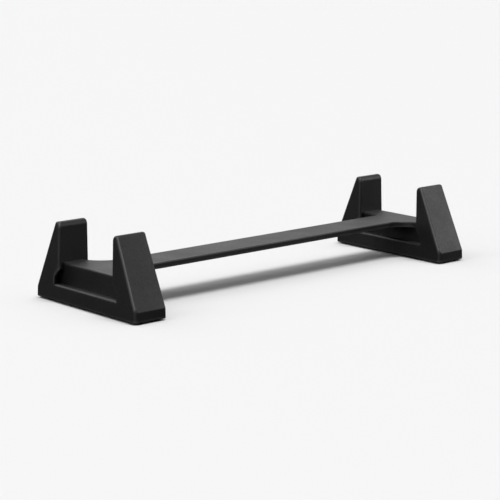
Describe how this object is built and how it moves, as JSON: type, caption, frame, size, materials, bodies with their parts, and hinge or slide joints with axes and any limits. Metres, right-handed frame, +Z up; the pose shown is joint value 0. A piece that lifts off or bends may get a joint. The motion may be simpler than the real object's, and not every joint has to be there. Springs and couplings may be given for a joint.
{
  "type": "console vertical stand",
  "caption": "Low one-piece stand with slanted feet that end in wedges, joined by a thin spine, holding a slim console upright in the channel between the wedges.",
  "frame": {"origin": "on the floor, under the middle of the stand", "axes": "+X along the channel from the console's front to its back, +Y across it to the console's left, +Z up"},
  "size_m": [0.2976, 0.072, 0.027],
  "materials": {
    "black_abs": "fine moulded texture, matte black",
    "black_rubber": "matte black"
  },
  "bodies": {
    "root": {"frame": "black_abs", "pad_1": "black_rubber", "pad_2": "black_rubber", "pad_3": "black_rubber", "pad_4": "black_rubber"}
  },
  "joints": []
}
